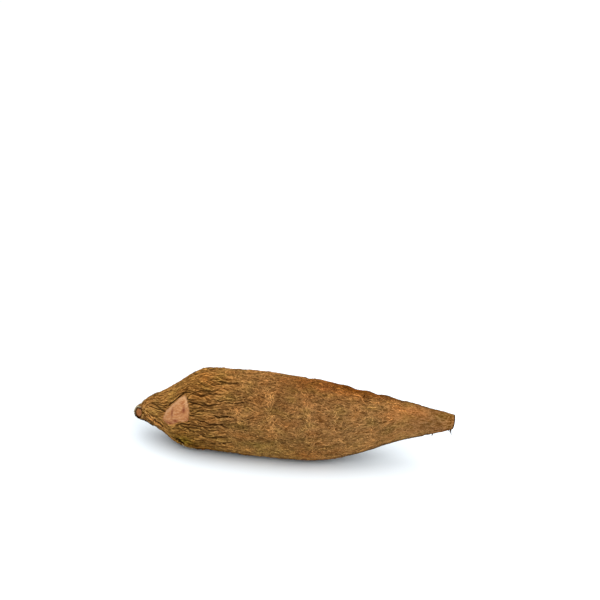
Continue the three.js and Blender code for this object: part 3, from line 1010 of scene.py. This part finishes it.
def make_strands(name, laid, seed, light=0.35, lift=(0.16, 0.34), silver=0.0):
    """Thin fibres with three sides and pointed ends, bent along the skin."""
    s0, angle0, heading, length, width, tone, bow = (x[:, None] for x in laid)
    count = len(s0)
    random = np.random.default_rng(seed)
    t = STRAND_STATIONS[None, :]
    wave = random.normal(0, 0.06, (count, 1))
    side = length * (bow * (1 - t * t) + wave * np.sin(math.pi * t))
    forward = t * length / 2
    step_s = forward * np.cos(heading) - side * np.sin(heading)
    step_y = forward * np.sin(heading) + side * np.cos(heading)
    s = np.clip(s0 + step_s, *STRAND_LIMITS)
    radius = along(s, RADIUS)
    angle = angle0 + (step_y - flow(s, angle0) + flow(s0, angle0)) / radius
    high = random.uniform(*lift, (count, 1)) * (1 - t ** 4)
    half = width / 2 * np.sqrt(np.clip(1 - t * t, 0, 1))
    off_s, off_angle = -half * np.sin(heading), half * np.cos(heading) / radius
    ridge = on_skin(s, angle, high)
    left = on_skin(s + off_s, angle + off_angle, -STRAND_SINK)
    right = on_skin(s - off_s, angle - off_angle, -STRAND_SINK)
    middle = slice(1, -1)
    rings = np.stack([ridge[:, middle], left[:, middle], right[:, middle]], 2)
    stations = rings.shape[1]
    first, last = left[:, :1], left[:, -1:]
    points = np.concatenate([first, rings.reshape(count, -1, 3), last], 1)

    per = 3 * stations + 2
    faces = []
    for k in range(3):
        after = (k + 1) % 3
        faces.append([0, 1 + k, 1 + after])
        end = 1 + 3 * (stations - 1)
        faces.append([per - 1, end + after, end + k])
    sides = []
    for m in range(stations - 1):
        for k in range(3):
            after = (k + 1) % 3
            here, there = 1 + 3 * m, 4 + 3 * m
            sides.append([here + k, there + k, there + after, here + after])
    base = (np.arange(count) * per)[:, None, None]
    ends = (base + np.array(faces)[None]).reshape(-1, 3)
    sides = (base + np.array(sides)[None]).reshape(-1, 4)
    piece = new_piece(name, points.reshape(-1, 3), [ends, sides], BARK_MATERIAL)

    def spread(values):
        """One number for each station, given to each of the strand's points."""
        ring = np.repeat(values[:, middle], 3, axis=1)
        return np.concatenate([values[:, :1], ring, values[:, -1:]], 1).ravel()

    tones = np.broadcast_to(tone, s.shape)
    bark_attributes(piece, spread(s), spread(angle), light=light, tone=spread(tones), silver=silver)


# Stray root hairs: distance from the neck, degrees round, length, thickness, lean along, lean round
HAIRS = [
    (246.6, -62, 3.8, 1.5, 0.3, 0.2),
    (245.0, -48, 2.2, 0.9, 0.9, 0.3),
    (233.5, -60, 1.8, 1.3, -0.3, -0.4),
    (181, 82, 2.4, 0.8, 0.8, 0.6),
    (190, 215, 6, 0.7, 0.7, 0.5),
    (120, 238, 5, 0.6, -0.5, 0.6),
    (76, 196, 4, 0.6, 0.6, -0.6),
    (214, 150, 5, 0.6, 0.6, 0.4),
]
HAIR_STATIONS = np.array([-0.3, 0, 0.25, 0.5, 0.75, 1])
HAIR_SIDES = 5


def make_hairs():
    """Thin stubs of root that stand off the bark, each a closed tube with a point."""
    points, faces, tips, at = [], [], [], []
    count = len(HAIR_STATIONS)
    for s, degrees, length, thick, lean_s, lean_round in HAIRS:
        angle = math.radians(degrees)
        base = on_skin(np.array([s]), np.array([angle]), 0.0)[0]
        out = np.array([0, -math.cos(angle), math.sin(angle)])
        round_ = np.array([0, math.sin(angle), math.cos(angle)])
        lengthwise = np.array([1.0, 0, 0])
        start = len(points)
        for t in HAIR_STATIONS:
            lean = t * abs(t)
            centre = base + length * MM * (t * out + lean * (lean_s * lengthwise + lean_round * round_))
            radius = thick / 2 * MM * (1 - 0.75 * max(t, 0))
            for turned in 2 * math.pi * np.arange(HAIR_SIDES) / HAIR_SIDES:
                side = math.cos(turned) * lengthwise + math.sin(turned) * round_
                points.append(np.maximum(centre + radius * side, [-9, -9, 0]))
                at.append((s, angle))
        for m in range(count - 1):
            for k in range(HAIR_SIDES):
                after = (k + 1) % HAIR_SIDES
                low = start + m * HAIR_SIDES
                high = low + HAIR_SIDES
                faces.append([low + k, high + k, high + after, low + after])
        last = start + (count - 1) * HAIR_SIDES
        tips.append([start + k for k in range(HAIR_SIDES)])
        tips.append([last + k for k in reversed(range(HAIR_SIDES))])
    piece = new_piece("root_hairs", np.array(points), [np.array(faces), np.array(tips)], BARK_MATERIAL)
    s, angle = np.array(at).T
    bark_attributes(piece, s, angle, dark=0.9, tone=0.6)


make_root()
make_hairs()
make_strands("bark_fibres", lay_fibres(7800, 71), 72)
make_strands("bark_flecks", lay_flecks(9500, 73), 74, light=0.5)
make_strands("bark_ring_flecks", lay_ring_flecks(2200, 76), 77, light=0.85)
make_strands("bark_long_fibres", lay_long_fibres(1500, 80), 81, light=0.9)
make_strands("bark_streaks", lay_streaks(240, 82), 83, light=0.3, lift=(0.2, 0.4))
make_strands("bark_hem", lay_hem(420, 78), 79, light=0.9)
make_strands("bark_zigzags", lay_zigzags(84), 85, light=1.0, lift=(0.25, 0.45))
make_strands("bark_shreds", lay_each(SHREDS), 75, light=0.8, lift=(0.5, 1.1))
make_strands("bark_pale_edges", lay_each(PALE_EDGES), 86, lift=(0.3, 0.5), silver=0.65)


# Floor
FLOOR_SIZE = 16.0
FLOOR_DARK = linear(235, 242, 248)
FLOOR_LIGHT = linear(239, 245, 250)


def floor_material():
    n = Nodes("floor")
    place = n.add("TexCoord", output="Object")
    mottle = n.noise(place, scale=40.0, detail=2.0)
    colour = n.mix(mottle, FLOOR_DARK, FLOOR_LIGHT)
    shader = n.add("BsdfPrincipled", {"Base Color": colour, "Roughness": 0.9,
                                      "Specular IOR Level": 0.1})
    n.tree.links.new(shader, n.output.inputs["Surface"])
    return n.material


def make_floor():
    half = FLOOR_SIZE / 2
    mesh = bpy.data.meshes.new("floor")
    mesh.from_pydata([(-half, -half, 0), (half, -half, 0), (half, half, 0), (-half, half, 0)],
                     [], [(0, 1, 2, 3)])
    mesh.materials.append(floor_material())
    floor = bpy.data.objects.new("floor", mesh)
    bpy.context.scene.collection.objects.link(floor)


make_floor()

# Camera: its angle is an estimate of the photo's, and the root lies low in the picture as it does
# there. The aimed point is in metres, and the aimed pixel is where it shows in the picture.
CAMERA_AZIMUTH = math.radians(14)
CAMERA_ELEVATION = math.radians(22.6)
SENSOR = 36.0
PICTURE = 600
LENS = 90.0
CAMERA_DEPTH = 1.143
AIMED_POINT = Vector((0.0039, 0.0, 0.03))
AIMED_PIXEL = (293.0, 418.5)


def make_camera():
    a, e = CAMERA_AZIMUTH, CAMERA_ELEVATION
    back = Vector((math.sin(a) * math.cos(e), -math.cos(a) * math.cos(e), math.sin(e)))
    right = Vector((math.cos(a), math.sin(a), 0))
    up = back.cross(right)
    pixels = LENS / SENSOR * PICTURE
    across = (AIMED_PIXEL[0] - PICTURE / 2) / pixels
    down = (AIMED_PIXEL[1] - PICTURE / 2) / pixels
    data = bpy.data.cameras.new("camera")
    data.lens = LENS
    data.sensor_width = SENSOR
    data.clip_end = 50
    camera = bpy.data.objects.new("camera", data)
    place = AIMED_POINT - (right * across - up * down - back) * CAMERA_DEPTH
    camera.matrix_world = Matrix.Translation(place) @ Matrix((right, up, back)).transposed().to_4x4()
    bpy.context.scene.collection.objects.link(camera)
    bpy.context.scene.camera = camera


make_camera()


# Light: the world's, then softboxes with name, place, target, size, power and colour
WORLD_COLOUR = (0.97, 0.99, 1.0, 1)
WORLD_STRENGTH = 1.02
SOFTBOXES = [
    ("softbox_top", (0.2, 0.5, 3.0), (0, 0.4, 0), 4.0, 30, (1, 0.985, 0.96)),
    ("softbox_front", (0.8, -1.25, 1.15), (0, 0, 0), 0.9, 10, (1, 0.98, 0.95)),
    ("softbox_right", (1.5, -0.4, 1.2), (0, 0, 0), 1.0, 12, (1, 0.98, 0.95)),
]


def area_light(name, place, target, size, power, colour):
    data = bpy.data.lights.new(name, "AREA")
    data.size = size
    data.energy = power
    data.color = colour
    light = bpy.data.objects.new(name, data)
    light.location = place
    light.rotation_euler = (Vector(place) - Vector(target)).to_track_quat("Z", "Y").to_euler()
    bpy.context.scene.collection.objects.link(light)


def make_light():
    world = bpy.data.worlds.new("studio")
    world.use_nodes = True
    background = world.node_tree.nodes["Background"]
    background.inputs["Color"].default_value = WORLD_COLOUR
    background.inputs["Strength"].default_value = WORLD_STRENGTH
    bpy.context.scene.world = world
    for softbox in SOFTBOXES:
        area_light(*softbox)


make_light()
bpy.context.scene.view_settings.view_transform = "Standard"
